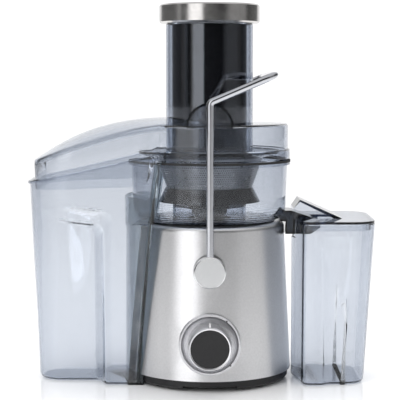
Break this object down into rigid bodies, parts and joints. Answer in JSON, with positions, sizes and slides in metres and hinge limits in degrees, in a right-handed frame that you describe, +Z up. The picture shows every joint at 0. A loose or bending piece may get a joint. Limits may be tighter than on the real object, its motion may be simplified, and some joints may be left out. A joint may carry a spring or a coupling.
{
  "type": "centrifugal juicer",
  "caption": "Centrifugal juicer: motor base with a dial, spinning filter basket in a clear bowl, lid with feed chute and pusher, locking arm, pulp bin and juice jug.",
  "frame": {"origin": "motor axis at the level of the surface that the juicer stands on", "axes": "+Z up along the motor axis, -Y the front with the dial, +X towards the juice jug"},
  "size_m": [0.3656, 0.2073, 0.4005],
  "materials": {
    "satin_steel": "fine satin, soft vertical highlights",
    "black_plastic": "smooth moulded",
    "rubber": "matt",
    "cast_aluminium": "die cast",
    "lamination_steel": "stacked laminations",
    "copper": "enamelled copper",
    "brass": "plain",
    "carbon": "pressed carbon",
    "bearing_steel": "ground",
    "silver_plastic": "satin silver",
    "print_black": "printed",
    "print_white": "printed",
    "clear_smoke": "clear blue-grey plastic, glossy",
    "dark_smoke": "dark clear plastic, glossy",
    "grey_clear": "grey clear plastic",
    "mesh_steel": "perforated stainless steel",
    "chrome": "polished",
    "satin_chrome": "satin",
    "black_gloss": "high gloss black",
    "brushed_cap": "brushed round the rim"
  },
  "bodies": {
    "motor_base": {"base_housing": "satin_steel", "plinth": "black_plastic", "bottom_cover": "black_plastic", "feet": "rubber", "top_deck": "black_plastic", "deck_gasket": "rubber", "shaft_seal": "rubber", "motor_top_bracket": "cast_aluminium", "motor_bottom_bracket": "cast_aluminium", "stator_core": "lamination_steel", "field_coils": "copper", "brush_holders": "brass", "carbon_brushes": "carbon", "upper_bearing": "bearing_steel", "lower_bearing": "bearing_steel", "motor_mounts": "rubber", "bracket_screws": "bearing_steel", "cover_screws": "bearing_steel", "speed_switch": "black_plastic", "safety_switch": "black_plastic", "cable_gland": "rubber", "dial_dish": "silver_plastic", "dial_marks": "print_black", "pivot_pins": "bearing_steel", "filter_bowl": "clear_smoke", "bowl_seal": "rubber", "juice_spout": "dark_smoke"},
    "rotor": {"motor_shaft": "bearing_steel", "armature_core": "lamination_steel", "armature_windings": "copper", "commutator": "copper", "cooling_fan": "black_plastic", "drive_coupling": "black_plastic", "basket_hub": "black_gloss", "filter_mesh": "mesh_steel", "basket_rim": "grey_clear", "grater_disc": "mesh_steel"},
    "locking_arm": {"arm_leg_front": "chrome", "arm_leg_rear": "chrome", "arm_grip_bar": "chrome", "pivot_hub_front": "satin_chrome", "pivot_hub_rear": "satin_chrome"},
    "lid": {"lid_cover": "clear_smoke", "feed_chute": "clear_smoke"},
    "pusher": {"pusher_body": "black_gloss", "pusher_cap": "brushed_cap"},
    "dial": {"dial_knob": "silver_plastic", "dial_face": "black_gloss", "dial_pointer": "print_white", "dial_shaft": "bearing_steel"},
    "bin": {"pulp_bin": "clear_smoke"},
    "jug": {"juice_jug": "clear_smoke"},
    "jug_cover": {"jug_lid": "clear_smoke"}
  },
  "joints": [
    {"name": "rotor_spin", "type": "hinge", "parent": "motor_base", "child": "rotor", "pos_m": [0, 0, 0.1], "axis": [0, 0, 1], "continuous": true},
    {"name": "locking_arm_swing", "type": "hinge", "parent": "motor_base", "child": "locking_arm", "pos_m": [0, 0, 0.126], "axis": [0, 1, 0], "range_deg": [0, 95]},
    {"name": "lid_lift", "type": "slide", "parent": "motor_base", "child": "lid", "axis": [0, 0, 1], "range_m": [0, 0.035]},
    {"name": "pusher_slide", "type": "slide", "parent": "lid", "child": "pusher", "axis": [0, 0, 1], "range_m": [0, 0.165]},
    {"name": "dial_turn", "type": "hinge", "parent": "motor_base", "child": "dial", "pos_m": [0, -0.09, 0.0505], "axis": [0, 1, 0], "range_deg": [0, 135]},
    {"name": "bin_slide", "type": "slide", "parent": "motor_base", "child": "bin", "axis": [-1, 0, 0], "range_m": [0, 0.15]},
    {"name": "jug_slide", "type": "slide", "parent": "motor_base", "child": "jug", "axis": [-1, 0, 0], "range_m": [-0.1, 0]},
    {"name": "jug_lid_lift", "type": "slide", "parent": "jug", "child": "jug_cover", "axis": [0, 0, 1], "range_m": [0, 0.05]}
  ]
}
